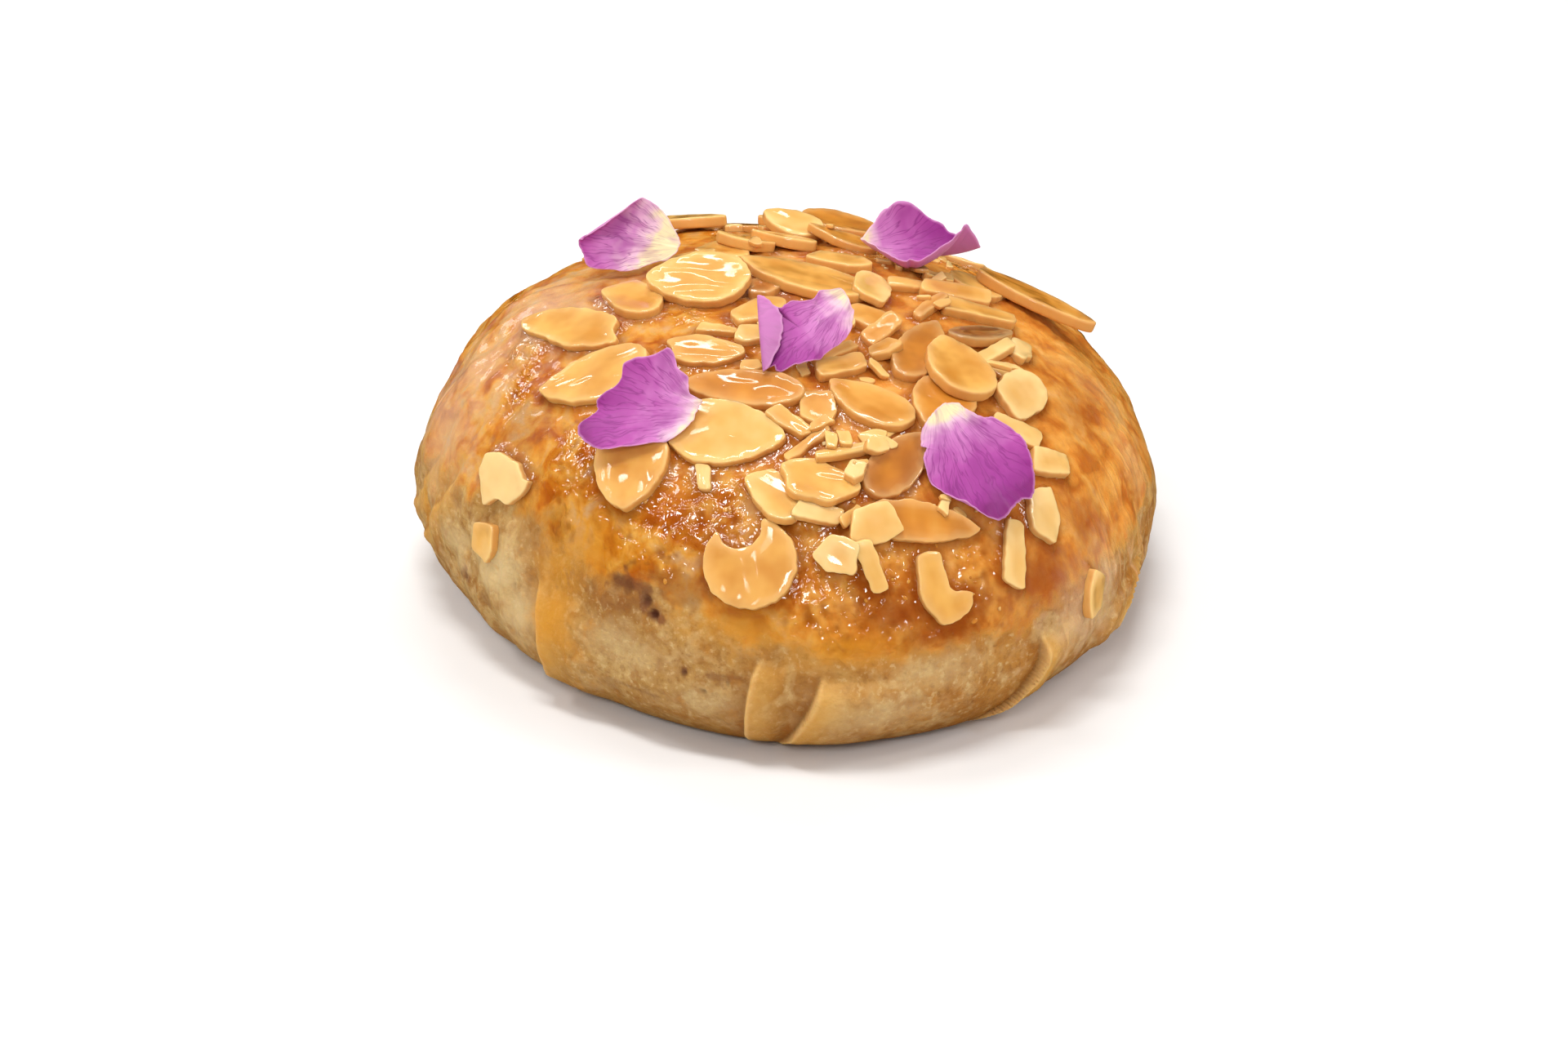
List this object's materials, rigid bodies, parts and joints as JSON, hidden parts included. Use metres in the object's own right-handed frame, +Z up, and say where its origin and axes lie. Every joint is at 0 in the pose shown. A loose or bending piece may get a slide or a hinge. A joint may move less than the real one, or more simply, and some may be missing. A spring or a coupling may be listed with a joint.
{
  "type": "pastilla",
  "caption": "Round filled pastry parcel with folded sides and a flat base, honey glazed, its top scattered with sliced almonds and curled rose petals.",
  "frame": {"origin": "on the flat base, at the axis the parcel is drawn round", "axes": "+Z up from the base, -Y towards the side the picture shows, +X to that view's right"},
  "size_m": [0.1206, 0.1218, 0.0624],
  "materials": {
    "pastry": "baked pastry sheet, matt and pale at the sides, amber and glossy under syrup on top",
    "almond": "toasted almond slices wet with syrup",
    "syrup": "clear honey syrup, wet gloss",
    "petal": "fresh rose petal, soft sheen, veined, pale at its base"
  },
  "bodies": {
    "root": {"pastry": "pastry", "petal_1": "petal", "petal_2": "petal", "petal_3": "petal", "petal_4": "petal", "petal_5": "petal"}
  },
  "joints": []
}
